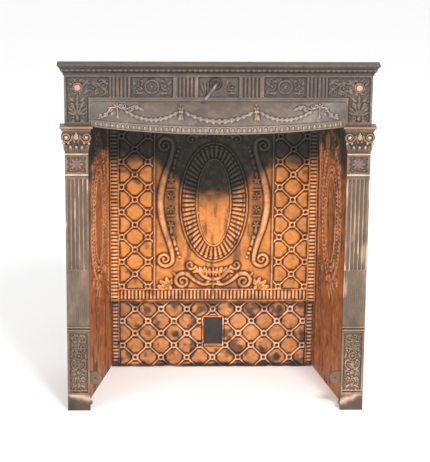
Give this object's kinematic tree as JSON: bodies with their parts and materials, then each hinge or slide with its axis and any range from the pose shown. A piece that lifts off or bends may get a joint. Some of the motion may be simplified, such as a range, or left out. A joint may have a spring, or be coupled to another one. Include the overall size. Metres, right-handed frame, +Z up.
{
  "type": "fireplace insert",
  "caption": "Cast iron fireplace insert: shelf and frieze on fluted pilasters, bowed hood, ornamented fireback with splayed side plates, turning damper handle.",
  "frame": {"origin": "middle of the footprint, on the hearth that the insert stands on", "axes": "+Z up, -Y out of the front towards the room, +X to the right for somebody who faces the front"},
  "size_m": [0.795, 0.3946, 0.92],
  "materials": {
    "bronzed_iron": "dark bronze plating over cast iron, worn to copper on the edges",
    "pewter_iron": "greyer rubbed plating over cast iron",
    "coppered_iron": "copper plating over cast iron with soot and dark crevices",
    "worn_copper": "rubbed copper on small bosses",
    "dark_steel": "blackened steel, polished by handling"
  },
  "bodies": {
    "frame": {"lintel": "bronzed_iron", "pilaster_left": "bronzed_iron", "pilaster_right": "bronzed_iron", "hood": "pewter_iron", "fireback_upper": "coppered_iron", "fireback_lower": "coppered_iron", "jamb_left": "coppered_iron", "jamb_right": "coppered_iron", "boss_left": "worn_copper", "boss_right": "worn_copper", "foot_bolt_left": "dark_steel", "foot_bolt_right": "dark_steel", "pipe_cover": "dark_steel"},
    "handle": {"damper_handle": "dark_steel"}
  },
  "joints": [
    {"name": "damper_turn", "type": "hinge", "parent": "frame", "child": "handle", "pos_m": [-0.008, -0.1223, 0.8685], "axis": [0, 1, 0], "range_deg": [-36, 54]}
  ]
}
